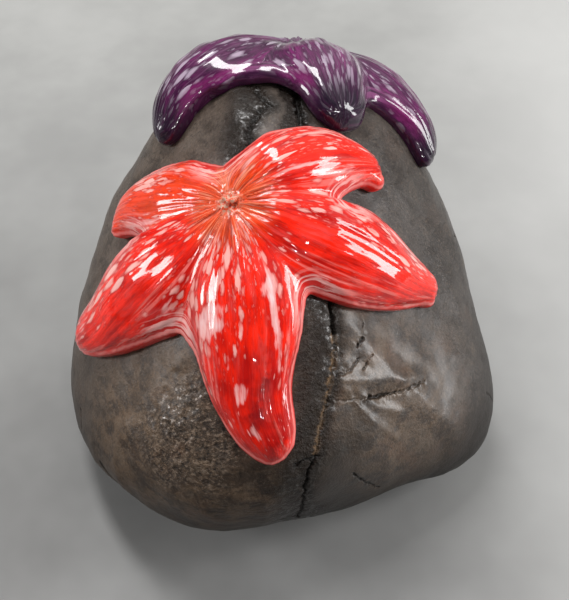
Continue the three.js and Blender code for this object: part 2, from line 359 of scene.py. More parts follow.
def makeStage():
    view = stage["camera"]
    bpy.ops.object.camera_add(location=view["at"])
    camera = bpy.context.object
    aimAlong(camera, Vector(view["lookAt"]) - Vector(view["at"]))
    camera.data.lens = view["lens"]
    camera.data.sensor_width = stage["sensorWidth"]
    camera.data.clip_start = stage["clipStart"]
    bpy.context.scene.camera = camera
    makeFloor(stage["floor"])
    for name, light in stage["lights"].items():
        bpy.ops.object.light_add(type="AREA", location=light["at"])
        lamp = bpy.context.object
        lamp.name = name
        lamp.data.shape = "RECTANGLE"
        lamp.data.size, lamp.data.size_y = light["size"]
        lamp.data.energy = light["power"]
        aimAlong(lamp, Vector(stage["lightsAim"]) - Vector(light["at"]))

    facts = stage["sky"]
    sky = Sky("studio")
    sky.shader.inputs["Color"].default_value = facts["tone"]
    toSky = sky.add("ShaderNodeTexCoord", out="Generated")
    toGlow = sky.vectorMath("DOT_PRODUCT", toSky, facts["glowWay"], out="Value").between(*facts["glowSpread"])
    toHorizon = sky.axis(toSky, "Z").between(*facts["horizonSpread"])
    sky.feed(Strength=facts["strength"] + facts["glow"] * toGlow + facts["horizon"] * toHorizon)
    bpy.context.scene.world = sky.world
    bpy.context.scene.view_settings.view_transform = "Standard"


makeStage()
print("stage set")


# The river stone. A wave is its size, its height and its seed. Pairs are where something comes in
# and where it is complete.
stone = {
    "skin": {"swell": 0.7 * mm, "voxel": 5.5 * mm, "relax": 12, "levels": 2},
    "rolls": [(32 * mm, 0.8 * mm, 1), (14 * mm, 0.35 * mm, 2),
              (6 * mm, 0.14 * mm, 3), (3 * mm, 0.05 * mm, 4)],
    "fine": (3.8 * mm, 1.8 * mm),                 # the skin is made finer this close to a line, twice
    # the ragged patch on the front, its straying border and its grains, drawn out across
    "rough": {"turn": -20, "rise": 14, "radius": 30 * mm, "solid": 0.3, "fine": 0.8,
              "border": (12 * mm, 6 * mm, 7), "slant": (1, 1.7, 1.7),
              "grains": [(5 * mm, 0.2 * mm, 8), (1.6 * mm, 0.12 * mm, 11)]},
    # the strip beside the fissures, which gets painted shade and glints, in mm: narrow on the right and wider
    # on the left and low down
    "shadedStrip": {"start": (1.5, 3.5), "end": (6, 11), "left": (1.5 * mm, -1.5 * mm), "high": (38 * mm, 60 * mm),
            "wave": (2.6 * mm, 0.22 * mm, 9)},
    # how a line is cut: its lips waver, it lies in a shallow trough, and the mineral keeps to its left
    "cut": {"waver": (1.6 * mm, 0.35, 10), "sharpness": 1.5, "trough": 0.18, "troughWidth": 3.2,
            "left": (0.5 * mm, -0.5 * mm), "open": (0.3, 1.05), "filled": (0.8, 2.2),
            "fillHides": 0.85, "fillRight": 0.25, "deep": 1.4 * mm},
    "pits": {"count": 60, "size": (0.5 * mm, 1.3 * mm), "depth": (0.15 * mm, 0.5 * mm), "seed": 12},
}

# Lines on the stone, each as places of turn and rise. Width is from the line to its lip, depth
# is how far it sinks, or stands where it is less than nothing, and fill is how much of the
# tan mineral lies in it.
stoneLines = [
    {"name": "fissure under the glass", "shadedStrip": True, "width": 1.2, "depth": 1.9, "fill": 0, "places":
        [(20, 47), (18.0, 41.8), (16.9, 35.5)]},
    {"name": "veined fissure", "shadedStrip": True, "width": 0.9, "depth": 0.7, "fill": 1, "places":
        [(16.9, 35.5), (16, 31.8), (13.5, 26.9), (11.5, 23)]},
    {"name": "lower fissure", "shadedStrip": True, "width": 0.7, "depth": 0.8, "fill": 0.75, "places":
        [(11.5, 23), (10.5, 20.7), (9.2, 18.1), (7.7, 14.8), (6.5, 11.7)]},
    {"name": "fissure over the chin", "shadedStrip": True, "width": 0.85, "depth": 1.3, "fill": 0, "places":
        [(6.5, 11.7), (5, 9), (4.1, 4.9), (3.9, -4.3), (3, -14)]},
    {"name": "spur", "width": 1.2, "depth": 1.2, "fill": 0, "places":
        [(6.5, 11.7), (4.5, 11.6), (2.1, 10.9)]},
    {"name": "thin start of the branch", "width": 0.5, "depth": 0.4, "fill": 0, "places":
        [(11.5, 22.2), (15, 20.2), (18.9, 19), (23, 17.3)]},
    {"name": "branch", "width": 0.85, "depth": 1.3, "fill": 0.15, "places":
        [(22.5, 17.4), (25.8, 16.1), (29.6, 14.6), (32.5, 13.4)]},
    {"name": "end of the branch", "width": 0.6, "depth": 0.7, "fill": 0.3, "places":
        [(32.5, 13.4), (38.4, 11.3), (43.7, 9.2)]},
    {"name": "third crack", "width": 0.6, "depth": 0.7, "fill": 0, "places":
        [(15.1, 25.5), (19.3, 25.4), (22.1, 26.3), (23.7, 27)]},
    {"name": "short crack", "width": 0.6, "depth": 0.7, "fill": 0, "places":
        [(23.7, 23.8), (28.6, 25.9)]},
    {"name": "upper short crack", "width": 0.8, "depth": 0.9, "fill": 0, "places":
        [(23.9, 29.9), (27.4, 31.2)]},
    {"name": "nick under the arm", "width": 0.6, "depth": 0.6, "fill": 0, "places":
        [(28.9, 33.6), (29.7, 35.6)]},
    {"name": "right flank crack", "width": 0.6, "depth": 0.5, "fill": 0, "places":
        [(61.6, -7.5), (64.7, -13.3)]},
    {"name": "chin nick", "width": 0.9, "depth": 0.8, "fill": 0, "places":
        [(15.3, 3.3), (16.8, 0.3), (22.5, -8.2)]},
    {"name": "top cleft", "shadedStrip": True, "width": 2.6, "depth": 2.0, "fill": 0, "places":
        [(172, 62), (170, 68), (169, 74), (160, 79), (141.8, 82.5), (70, 84)]},
    {"name": "top crack", "shadedStrip": True, "width": 1.5, "depth": 0.9, "fill": 0, "places":
        [(-157, 72), (-157.6, 75.9), (-162.3, 78.6), (-144, 79), (-110, 80), (-64.5, 81.2)]},
    {"name": "left nick", "width": 1.0, "depth": 0.8, "fill": 0, "places":
        [(-58.7, -9), (-56, -12.5)]},
    {"name": "left score", "width": 1.3, "depth": 0.7, "fill": 0, "places":
        [(-45, -11), (-38, -14), (-31, -15.5)]},
    {"name": "back crack", "shadedStrip": True, "width": 1.0, "depth": 1.2, "fill": 0.3, "places":
        [(168, 30), (163, 22), (165, 12), (158, 3), (160, -8)]},
    {"name": "back branch", "width": 0.7, "depth": 0.7, "fill": 0, "places":
        [(163, 20), (150, 16), (143, 10)]},
    {"name": "left shoulder crack", "width": 0.7, "depth": 0.8, "fill": 0, "places":
        [(-128, 20), (-120, 14), (-117, 5), (-108, -1)]},
    {"name": "right shoulder crack", "width": 0.7, "depth": 0.7, "fill": 0, "places":
        [(98, 18), (104, 10), (103, 1)]},
]

# Soft ridges between the stone's worn faces: height over the face and width on each side, in mm.
stoneRidges = [
    {"name": "right of the front", "height": 1.1, "width": 9, "places":
        [(24, 36), (29, 27), (34, 17), (40, 7), (45, -4)]},
    {"name": "over the branch", "height": 0.7, "width": 5, "places":
        [(17, 24), (24, 21), (31, 17.5), (37, 14), (44, 11)]},
    {"name": "raised vein", "height": 0.55, "width": 2.2, "places":
        [(15, 22.5), (17.3, 21.2), (19.8, 16.2), (22.4, 12.5), (25.9, 8), (28.4, 4.8)]},
    {"name": "beside the vein", "height": 0.5, "width": 3, "places": [(20, 20), (25, 14.5), (31, 9)]},
    {"name": "left cheek", "height": 0.8, "width": 8, "places":
        [(-32, 24), (-38, 12), (-40, 0), (-36, -10)]},
    {"name": "left of the fissure", "height": 0.7, "width": 5, "places":
        [(8, 26), (4, 19), (1, 11), (-3, 2), (-4, -9)]},
    {"name": "crown", "height": 0.8, "width": 7, "places":
        [(-100, 78), (-140, 70), (-160, 58), (-165, 42)]},
    {"name": "back", "height": 1.0, "width": 9, "places":
        [(140, 45), (145, 28), (140, 10), (146, -6)]},
]
ridgeTop = 0.3                                    # the round top of a ridge, as a share of its width

# How a line strays from the straight way between its places, and how its width and depth beat.
lineHand = {"reach": 90, "step": 0.5, "curl": 40, "stray": 0.007, "shiver": 3, "shiverStray": 0.004,
            "beat": 1.7, "beatShare": 0.55}


def lineSamples(tree, lines):                     # the lines dropped on the skin, a sample at each half mm
    hand = lineHand
    spots, facts = [], []
    for number, line in enumerate(lines):
        ways = [towards(*place) for place in line["places"]]
        for first, second in zip(ways, ways[1:]):
            steps = max(2, int(np.linalg.norm(second - first) * hand["reach"] / hand["step"]))
            for step in range(steps):
                way = first + (second - first) * step / steps
                curl = Vector(way * hand["curl"] + number)
                way = way + hand["stray"] * np.array(noise.noise_vector(curl))
                way = way + hand["shiverStray"] * np.array(noise.noise_vector(curl * hand["shiver"]))
                spots.append(tree.ray_cast(Vector(stoneMiddle), Vector(way).normalized())[0])
                beat = 1 + hand["beatShare"] * noise.noise(curl * hand["beat"])
                width, depth = line["width"] * mm * beat, line.get("depth", 0) * mm * beat
                facts.append((width, depth, line.get("fill", 0)))
    return spots, np.array(facts)


def waves(points, size, height, seed):
    return height * wander(points, size, seed)


def shadedStripMask(tree, points):                       # 1 on the ragged strip beside the fissures, which carries painted shade
    shadedStrip = stone["shadedStrip"]
    spots = np.array(lineSamples(tree, [line for line in stoneLines if line.get("shadedStrip")])[0])
    spot, away = nearest(spots, points)
    aside = points[:, 0] - spots[spot][:, 0]
    wide = np.maximum(smooth(aside, *shadedStrip["left"]), 1 - smooth(points[:, 2], *shadedStrip["high"]))
    start, end = [(least + more * wide) * mm for least, more in (shadedStrip["start"], shadedStrip["end"])]
    return 1 - smooth(away, start, end)


def makeStone():
    piece = copyNodes("river_stone", ["stone"])
    reskin(piece, **stone["skin"])
    tree = skinTree(piece)                        # the plain stone, before its cracks and grain
    spots, facts = lineSamples(tree, stoneLines)
    rough, cut, pits = stone["rough"], stone["cut"], stone["pits"]
    middle = np.array(tree.ray_cast(Vector(stoneMiddle), Vector(towards(rough["turn"], rough["rise"])))[0])
    refine(piece, np.linalg.norm(readPoints(piece) - middle, axis=1) < rough["fine"] * rough["radius"])
    for reach in stone["fine"]:
        refine(piece, nearest(spots, readPoints(piece))[1] < reach)
    points = readPoints(piece)
    normals = readPoints(piece, "normal")
    rise = np.zeros(len(points))

    for roll in stone["rolls"]:
        rise += waves(points, *roll)

    for ridge in stoneRidges:
        away = nearest(lineSamples(tree, [ridge])[0], points)[1]
        width = ridge["width"] * mm
        rise += ridge["height"] * mm * (1 - smooth(away, -ridgeTop * width, width))

    away = np.linalg.norm(points - middle, axis=1) + waves(points, *rough["border"])
    ragged = 1 - smooth(away, rough["solid"] * rough["radius"], rough["radius"])
    slanted = points * np.array(rough["slant"])
    rise += ragged * sum(waves(slanted, *grain) for grain in rough["grains"])
    strip = shadedStripMask(tree, points)
    rise += strip * waves(points, *stone["shadedStrip"]["wave"])

    found, distance = nearest(spots, points)
    width, depth, fill = facts[found].T
    wobble = distance * (1 + waves(points, *cut["waver"]))
    rise -= depth * (1 - smooth(wobble, 0, width)) ** cut["sharpness"]
    rise -= cut["trough"] * depth * bell(distance, 0, cut["troughWidth"] * width)

    draw = np.random.default_rng(pits["seed"])
    for _ in range(pits["count"]):
        pit = points[draw.integers(len(points))]
        size = draw.uniform(*pits["size"])
        rise -= draw.uniform(*pits["depth"]) * bell(np.linalg.norm(points - pit, axis=1), 0, size)

    points = points + normals * rise[:, None]
    points[:, 2] = np.maximum(points[:, 2], 0)
    movePoints(piece, points)

    # the tan mineral lies on the left of a line, and the open crack on its right
    left = smooth(points[:, 0] - np.array(spots)[found][:, 0], *cut["left"])
    opened = 1 - smooth(wobble, cut["open"][0] * width, cut["open"][1] * width)
    filled = 1 - smooth(wobble, cut["filled"][0] * width, cut["filled"][1] * width)
    paint(piece, "crack", opened * (1 - cut["fillHides"] * fill * left) * smooth(depth, 0, cut["deep"]))
    paint(piece, "vein", fill * atLeast(cut["fillRight"], left) * filled)
    paint(piece, "ragged", ragged)
    paint(piece, "strip", strip)
    return piece, tree


# The stone's finish. A pattern is its fineness, detail and roughness, and a coat its tone and how
# well it covers. Ranges are values of a pattern, or places in metres, where a coat comes in and
# where it is complete.
stoneFinish = {
    "shader": {"Roughness": 0.5, "Specular_IOR_Level": 0.2, "Coat_Roughness": 0.3, "Coat_IOR": 1.55},
    "patterns": {"cloudy": (26, 5, 0.6), "mottle": (130, 4, 0.62), "grain": (950, 3, 0.7),
                 "streaky": (85, 6, 0.68), "rust": (55, 4), "pebble": (480, 4, 0.65), "broken": (260, 4)},
    "cloudShake": (30, 0.02), "mottleShake": (90, 0.006),
    "streakStretch": (1, 1, 2.2), "pebbleStretch": (1, 1.5, 1.5),
    # worn grey on the flanks, darker on the right, and brown at the front
    "leftGreys": ((0.072, 0.053, 0.041), (0.115, 0.088, 0.07)), "greyRange": (0.3, 0.7),
    "rightGreys": ((0.034, 0.028, 0.025), (0.064, 0.054, 0.048)), "rightRange": (-0.045, 0.03),
    "browns": ((0.036, 0.02, 0.011), (0.15, 0.094, 0.055)), "brownRange": (0.38, 0.62),
    "front": {"deep": (-0.005, -0.06), "right": (0.05, 0.08), "left": (-0.06, -0.085),
              "least": 0.6, "cloudRange": (0.35, 0.6)},
    "rust": ((0.1, 0.05, 0.026), 1), "rustRange": (0.54, 0.68), "rustLeast": 0.15, "rustFront": 0.4,
    "streaks": ((0.028, 0.021, 0.016), 0.45), "streakRange": (0.5, 0.66),
    "darkMottle": ((0.02, 0.014, 0.011), 0.55), "darkMottleRange": (0.5, 0.36),
    "paleMottle": ((0.11, 0.084, 0.064), 0.35), "paleMottleRange": (0.54, 0.68),
    "specksAndGlints": ((0.26, 0.2, 0.15), 1), "speckRange": (0.54, 0.66), "speckLeast": 0.2, "speckRagged": 0.4,
    "pores": ((0.012, 0.009, 0.007), 0.6), "poreRange": (0.44, 0.34),
    # the ragged patch is light on its grains, partly painted highlight on their tops, and dark between them
    "paleGrainsAndGlints": ((0.27, 0.19, 0.13), 0.6), "palePebbleRange": (0.52, 0.64),
    "darkPebbles": ((0.014, 0.0095, 0.007), 0.85), "darkPebbleRange": (0.48, 0.36),
    # painted shade: darker low down under the chin, on a patch right of the fissure and beside the fissures
    "low": ((0.013, 0.01, 0.008), 1), "lowRange": (0.072, 0.026),
    "lowLeast": 0.68, "lowRight": 0.27, "lowRightRange": (-0.004, 0.012),
    "shadedPatch": ((0.013, 0.01, 0.008), 0.85),
    "shadedPatchPlace": {"across": (0.018, 0.024), "high": (0.088, 0.074), "deep": (-0.05, -0.07)},
    # partly dark rock, partly painted shadow of the red arm over the strip beside the fissures
    "strip": ((0.013, 0.009, 0.0065), 0.86),
    "vein": ((0.24, 0.145, 0.075), 0.8), "veinRange": (0.38, 0.52),
    "crack": ((0.008, 0.0055, 0.004), 0.92),
    # the worn face right of the fissure, and what makes the stone rough, bumpy and shiny
    "face": {"left": (0.006, 0.02), "right": (0.055, 0.075), "deep": (-0.03, -0.055), "high": (0.03, 0.06)},
    "rough": {"least": 0.24, "cloudy": 0.14, "streaky": 0.12, "low": 0.2, "strip": 0.12},
    "stripRagged": 0.8,
    "grainRelief": {"height": 0.0008, "least": 0.25, "ragged": 0.7, "face": 0.3},
    "pebbleRelief": {"height": 0.0016, "least": 0.15, "ragged": 0.75},
    "streakRelief": (0.0018, 0.35),
    "shine": {"cloudy": 0.25, "face": 0.42, "glint": 0.9, "glintRange": (0.56, 0.64), "stripGlint": 0.8},
}


def stoneMaterial():
    look = stoneFinish
    patterns = look["patterns"]
    skin = Sheet("river stone", **look["shader"])
    place = skin.place()
    across = skin.axis(place, "X")
    deep = skin.axis(place, "Y")
    high = skin.axis(place, "Z")
    cloudy = skin.noise(skin.shake(place, *look["cloudShake"]), *patterns["cloudy"])
    mottle = skin.noise(skin.shake(place, *look["mottleShake"]), *patterns["mottle"])
    grain = skin.noise(place, *patterns["grain"])
    streaky = skin.noise(skin.stretch(place, look["streakStretch"]), *patterns["streaky"])
    rust = skin.noise(place, *patterns["rust"])
    pebble = skin.noise(skin.stretch(place, look["pebbleStretch"]), *patterns["pebble"])
    broken = skin.noise(place, *patterns["broken"])
    ragged = skin.attribute("ragged")
    strip = skin.attribute("strip")

    # the ground tones
    facts = look["front"]
    front = deep.between(*facts["deep"]) * (1 - across.between(*facts["right"]))
    front = front * (1 - across.between(*facts["left"]))
    browned = atLeast(facts["least"], cloudy.between(*facts["cloudRange"]))
    clouds = cloudy.between(*look["greyRange"])
    left = skin.mix(clouds, *look["leftGreys"])
    right = skin.mix(clouds, *look["rightGreys"])
    grey = skin.mix(across.between(*look["rightRange"]), left, right)
    brown = skin.mix(streaky.between(*look["brownRange"]), *look["browns"])
    colour = skin.mix(front * browned, grey, brown)

    # rust, streaks, mottling, pale specks (partly painted glints) and pores
    rusty = rust.between(*look["rustRange"]) * (look["rustLeast"] + look["rustFront"] * front)
    colour = skin.lay(colour, rusty, look["rust"])
    colour = skin.lay(colour, streaky.between(*look["streakRange"]), look["streaks"])
    colour = skin.lay(colour, mottle.between(*look["darkMottleRange"]), look["darkMottle"])
    colour = skin.lay(colour, mottle.between(*look["paleMottleRange"]), look["paleMottle"])
    # pale specks: partly pale grains, partly painted glints
    speckled = grain.between(*look["speckRange"]) * (look["speckLeast"] + look["speckRagged"] * ragged)
    colour = skin.lay(colour, speckled, look["specksAndGlints"])
    colour = skin.lay(colour, grain.between(*look["poreRange"]), look["pores"])
    colour = skin.lay(colour, pebble.between(*look["palePebbleRange"]) * ragged, look["paleGrainsAndGlints"])
    colour = skin.lay(colour, pebble.between(*look["darkPebbleRange"]) * ragged, look["darkPebbles"])

    # painted shade low down, on a patch right of the fissure and along the strip beside the fissures, then
    # the mineral in the fissures and the open cracks
    low = high.between(*look["lowRange"])
    low = low * (look["lowLeast"] + look["lowRight"] * across.between(*look["lowRightRange"]))
    colour = skin.lay(colour, low, look["low"])
    # painted shade on a patch low on the front, right of the fissure
    facts = look["shadedPatchPlace"]
    shadedPatch = across.near(*facts["across"]) * high.between(*facts["high"]) * deep.between(*facts["deep"])
    colour = skin.lay(colour, shadedPatch, look["shadedPatch"])
    colour = skin.lay(colour, strip, look["strip"])
    colour = skin.lay(colour, skin.attribute("vein") * broken.between(*look["veinRange"]), look["vein"])
    colour = skin.lay(colour, skin.attribute("crack"), look["crack"])

    # worn faces shine, and so do single grains where the stone is ragged
    facts = look["face"]
    face = across.between(*facts["left"]) * (1 - across.between(*facts["right"]))
    face = face * deep.between(*facts["deep"]) * high.between(*facts["high"])
    facts = look["rough"]
    gloss = facts["least"] + facts["cloudy"] * cloudy + facts["streaky"] * streaky
    gloss = gloss + facts["low"] * low - facts["strip"] * strip
    ragged = (ragged + look["stripRagged"] * strip).clipped()
    facts = look["shine"]
    glint = pebble.between(*facts["glintRange"]) * ragged
    glint = glint + facts["stripGlint"] * grain.between(*facts["glintRange"]) * strip
    shine = facts["cloudy"] * cloudy + facts["face"] * face * (1 - strip) + facts["glint"] * glint
    facts = look["grainRelief"]
    bumps = facts["least"] + facts["ragged"] * ragged + facts["face"] * face
    normal = skin.relief(grain, facts["height"], bumps)
    facts = look["pebbleRelief"]
    normal = skin.relief(pebble, facts["height"], facts["least"] + facts["ragged"] * ragged, normal)
    normal = skin.relief(streaky, *look["streakRelief"], normal)
    skin.feed(Base_Color=colour, Roughness=gloss, Coat_Weight=shine.clipped(), Normal=normal)
    return skin.material


stoneSkin, stoneTree = makeStone()
finishPiece(stoneSkin, "stone", stoneMaterial(), "stone")


# The two glass starfish. The arms repeat the part's own: heading, reach, bend and hook in degrees,
# width in mm. A mark is a soft patch on an arm: how far over it lies (-1 at the right edge to 1 at
# the left, seen from the middle), its share of the way out, its size both ways, and how much it adds.
redStar = {
    "name": "red_starfish", "turn": -38, "rise": 67.4, "slot": "red_glass", "seed": 3,
    "nodes": ["red_star_disc", "red_star_arm_front", "red_star_arm_right", "red_star_arm_back_right",
              "red_star_arm_back_left", "red_star_arm_left"],
    "skin": {"swell": 0.35 * mm, "voxel": 1.2 * mm, "relax": 10, "levels": 1},
    "navel": {"radius": 7 * mm, "depth": 1.9 * mm, "knob": 2.0 * mm, "knobRadius": 4.2 * mm},
    "flutes": 0.45 * mm, "ribs": 0.2 * mm, "lumps": 0.3 * mm, "rim": 0.3 * mm, "notch": 19 * mm,
    "warmArm": 3,
    "arms": [
        {"heading": -82, "reach": 60, "bend": -8, "hook": 6, "width": 39, "tip": 0.45, "web": 30,
         "flecks": [(0, 0.25, 1.2, 0.25, 0.25), (0.25, 0.62, 0.35, 0.16, -0.8), (0, 0.86, 1.2, 0.2, -0.7)],
         "veilsAndHighlights": [(-0.5, 0.47, 0.32, 0.06, 0.85), (-0.85, 0.44, 0.22, 0.06, 0.5),
                   (0.68, 0.36, 0.13, 0.13, 0.9), (0.78, 0.56, 0.12, 0.12, 0.7),
                   (-0.1, 0.74, 0.18, 0.045, 0.75), (0.02, 0.85, 0.16, 0.035, 0.65),
                   (-0.3, 0.62, 0.12, 0.03, 0.5), (0, 1, 1, 0.04, 0.6)],
         "deep": [(0.1, 0.84, 1.2, 0.17, 0.8), (0.5, 0.68, 0.2, 0.12, 0.5), (-0.4, 0.66, 0.2, 0.06, 0.4)]},
        {"heading": -17, "reach": 75, "bend": 1, "hook": 2, "width": 40, "tip": 0.27, "web": 28,
         "flecks": [(0.5, 0.38, 0.45, 0.3, 0.3), (-0.15, 0.5, 0.28, 0.4, -1), (-0.7, 0.6, 0.35, 0.5, -0.8),
                    (0, 0.95, 1, 0.1, -0.6)],
         "veilsAndHighlights": [(0.95, 0.68, 0.18, 0.14, 0.7), (0.1, 1, 0.9, 0.06, 0.7)],
         "deep": [(-0.8, 0.55, 0.25, 0.35, 0.4)]},
        {"heading": 41, "reach": 48, "bend": -13, "hook": 0, "width": 25, "tip": 0.36, "web": 13,
         "flecks": [(0.3, 0.5, 0.6, 0.4, 0.25), (-0.4, 0.6, 0.2, 0.3, -0.6), (-0.9, 0.6, 0.3, 0.5, -0.6)],
         "veilsAndHighlights": [(-0.85, 0.5, 0.25, 0.3, 0.6), (-0.5, 0.42, 0.1, 0.2, 0.7), (0.3, 0.95, 0.5, 0.08, 0.4)],
         "deep": [(-1, 0.9, 0.3, 0.08, 0.7)]},
        {"heading": 157, "reach": 49, "bend": 4, "hook": 4, "width": 30, "tip": 0.43, "web": 31,
         "flecks": [(-0.4, 0.5, 0.4, 0.25, 0.4), (0.3, 0.6, 0.4, 0.4, -0.7), (0, 0.2, 1, 0.15, -0.3)],
         "veilsAndHighlights": [(0.85, 0.6, 0.25, 0.35, 0.6), (0, 0.97, 0.8, 0.08, 0.4)],
         "deep": [(0.7, 0.93, 0.3, 0.06, 0.7)]},
        {"heading": -159, "reach": 69, "bend": 5, "hook": -4, "width": 45, "tip": 0.38, "web": 38,
         "flecks": [(-0.35, 0.65, 0.45, 0.35, 0.2), (0.5, 0.62, 0.4, 0.4, -1), (0, 0.3, 0.5, 0.2, -0.1)],
         "veilsAndHighlights": [(1, 0.42, 0.14, 0.1, 0.6), (0.1, 1, 0.8, 0.06, 0.45), (-0.15, 0.82, 0.25, 0.05, 0.5)],
         "deep": [(0.75, 0.6, 0.25, 0.2, 0.3)]},
    ],
}

purpleStar = {
    "name": "purple_starfish", "turn": 175, "rise": 50, "slot": "purple_glass", "seed": 5,
    "nodes": ["purple_star"],
    "skin": {"swell": 0.3 * mm, "voxel": 1.12 * mm, "relax": 16, "levels": 1},
    "navel": {"radius": 9 * mm, "depth": 0.5 * mm, "knob": 2.2 * mm, "knobRadius": 6 * mm},
    "flutes": 0.85 * mm, "ribs": 0.2 * mm, "lumps": 0.3 * mm, "rim": 0.05 * mm, "notch": 13 * mm,
    "warmArm": None,
    "arms": [
        {"heading": -65, "reach": 33, "bend": -5, "hook": 1, "width": 32, "tip": 0.44, "web": 24,
         "flecks": [(0.2, 0.6, 0.7, 0.35, 0.5)], "veilsAndHighlights": [(0.3, 0.4, 0.6, 0.25, 0.4)]},
        {"heading": -5, "reach": 45, "bend": -3, "hook": -4, "width": 29, "tip": 0.27, "web": 23,
         "flecks": [(0.4, 0.6, 0.5, 0.4, 0.4)], "veilsAndHighlights": [(0.5, 0.55, 0.5, 0.3, 0.3)]},
        {"heading": 62, "reach": 44, "bend": 6, "hook": 4, "width": 31, "tip": 0.34, "web": 20,
         "flecks": [(0, 0.5, 0.7, 0.3, 0.5)], "veilsAndHighlights": [(0, 0.5, 0.5, 0.3, 0.3)]},
        {"heading": 128, "reach": 42, "bend": -6, "hook": -4, "width": 31, "tip": 0.34, "web": 17,
         "flecks": [(0, 0.5, 0.7, 0.3, 0.5)], "veilsAndHighlights": [(0, 0.5, 0.5, 0.3, 0.3)]},
        {"heading": -160, "reach": 44, "bend": 5, "hook": 4, "width": 33, "tip": 0.3, "web": 24,
         "flecks": [(-0.4, 0.6, 0.4, 0.3, 0.6)], "veilsAndHighlights": [(-0.5, 0.3, 0.5, 0.25, 0.35)]},
    ],
}

# What both starfish share. Pairs are where something comes in and where it is complete. A fold is
# its height, how fine it is over and along an arm, and its seed beyond the star's own.
starShape = {
    "hookStart": 0.72, "belly": 0.44, "rootShare": 0.8, "taper": 1.6, "tipRound": 0.1,
    "farthest": 1.15, "leastHalf": 0.16, "leastAlong": 0.02,
    "markShakes": ((6 * mm, 0.08, 21), (6 * mm, 0.04, 23)),
    "sink": 1.1 * mm, "sinkHeight": (0.6 * mm, 3 * mm),
    "upright": 0.12, "rimHeight": 6 * mm, "top": (0.05, 0.5),
    # how many flecks go round the star, how long they are, and how many more go up a flank
    "laneCells": 7.2, "laneLength": 9 * mm, "laneLimit": 1.3, "flankReach": 7 * mm, "flankCells": 1.6,
    "folds": ((0.6, (0.6, 0.6, 0.3), 0), (0.9, (1.25, 1.25, 0.4), 1)),
    "foldMiddle": 9 * mm, "foldStart": (1.5 * mm, 5 * mm),
    "ribs": (1.3, 1.3, 0.25), "ribSeed": 2, "ribStart": (8 * mm, 20 * mm),
    "lumpSize": 13 * mm, "lumpSeed": 3, "knob": (1.7 * mm, 0.8), "knobSeed": 4,
    "groove": (3.0 * mm, 1.1 * mm), "lip": (1.4 * mm, 1.0 * mm), "lipShare": 0.4,
    "notchStart": 0.4, "notchEdge": (6 * mm, 12 * mm),
    "flankOver": (0.4, 0.75), "flankStart": (18 * mm, 30 * mm),
    "warmCore": (8 * mm, 24 * mm), "warmShare": (0.1, 0.3), "warmArmCover": 0.6,
}


def sway(arm, share):                             # how far the middle of an arm has turned
    return arm["bend"] * share + arm["hook"] * smooth(share, starShape["hookStart"], 1)


def swelling(arm, share):                         # width along an arm, as a share of its belly's
    belly, rootShare = starShape["belly"], starShape["rootShare"]
    share = np.clip(share, 0, 1)
    root = atLeast(rootShare, smooth(share, 0, belly))
    late = np.clip((share - belly) / (1 - belly), 0, 1) ** starShape["taper"]
    toTip = np.clip(1 - (1 - share) / starShape["tipRound"], 0, 1)
    rounding = np.sqrt(np.clip(1 - toTip ** 2, 0, 1))
    return np.where(share < belly, root, 1 + (arm["tip"] - 1) * late) * rounding


def turnBetween(first, second):
    return (second - first + 180) % 360 - 180


def softLeast(first, second, sharpness=8.0):      # the smaller of two, with a soft passage
    return (first ** -sharpness + second ** -sharpness) ** (-1 / sharpness)


def starAxes(star):                               # out through its middle, to the right and uphill
    toward = towards(star["turn"], star["rise"])
    right = unit(np.array([1.0, 0, 0]) - toward[0] * toward)
    return toward, right, np.cross(toward, right)


def layOut(star, points):                         # each point's arm, how far over and how far out
    toward, right, uphill = starAxes(star)
    ways = unit(points - stoneMiddle)
    heading = np.degrees(np.arctan2(ways @ uphill, ways @ right))
    reach = np.degrees(np.arccos(np.clip(ways @ toward, -1, 1)))
    closest = np.full(len(points), np.inf)
    owner = np.zeros(len(points), dtype=int)
    over = np.zeros(len(points))
    share = np.zeros(len(points))
    arms = star["arms"]
    for index, arm in enumerate(arms):
        before, after = arms[index - 1], arms[(index + 1) % len(arms)]
        toBefore = (before["heading"] - arm["heading"]) % 360 - 360
        toBefore += sway(before, before["web"] / before["reach"]) - sway(arm, before["web"] / arm["reach"])
        toAfter = (after["heading"] - arm["heading"]) % 360
        toAfter += sway(after, arm["web"] / after["reach"]) - sway(arm, arm["web"] / arm["reach"])
        aside = turnBetween(arm["heading"], heading)
        along = np.clip(reach * np.cos(np.radians(aside)) / arm["reach"], 0, starShape["farthest"])
        aside = aside - sway(arm, along)
        gap = np.where(aside < 0, -toBefore / 2, toAfter / 2)
        here = np.abs(aside) / gap < closest
        half = arm["width"] / 2 * mm / arc * np.maximum(swelling(arm, along), starShape["leastHalf"])
        out = arm["reach"] * np.maximum(along, starShape["leastAlong"])
        flank = softLeast(np.degrees(np.arctan2(half, out)), gap)
        closest[here] = (np.abs(aside) / gap)[here]
        owner[here] = index
        over[here] = (aside / flank)[here]
        share[here] = along[here]
    return owner, over, share, reach


def marks(star, kind, points, owner, over, share):
    overShake, shareShake = starShape["markShakes"]
    over = over + waves(points, *overShake)
    share = share + waves(points, *shareShake)
    total = np.zeros(len(owner))
    for index, arm in enumerate(star["arms"]):
        for markOver, markShare, wide, long, strength in arm.get(kind, ()):
            patch = bell(over, markOver, wide) * bell(share, markShare, long)
            total += np.where(owner == index, patch * strength, 0)
    return total


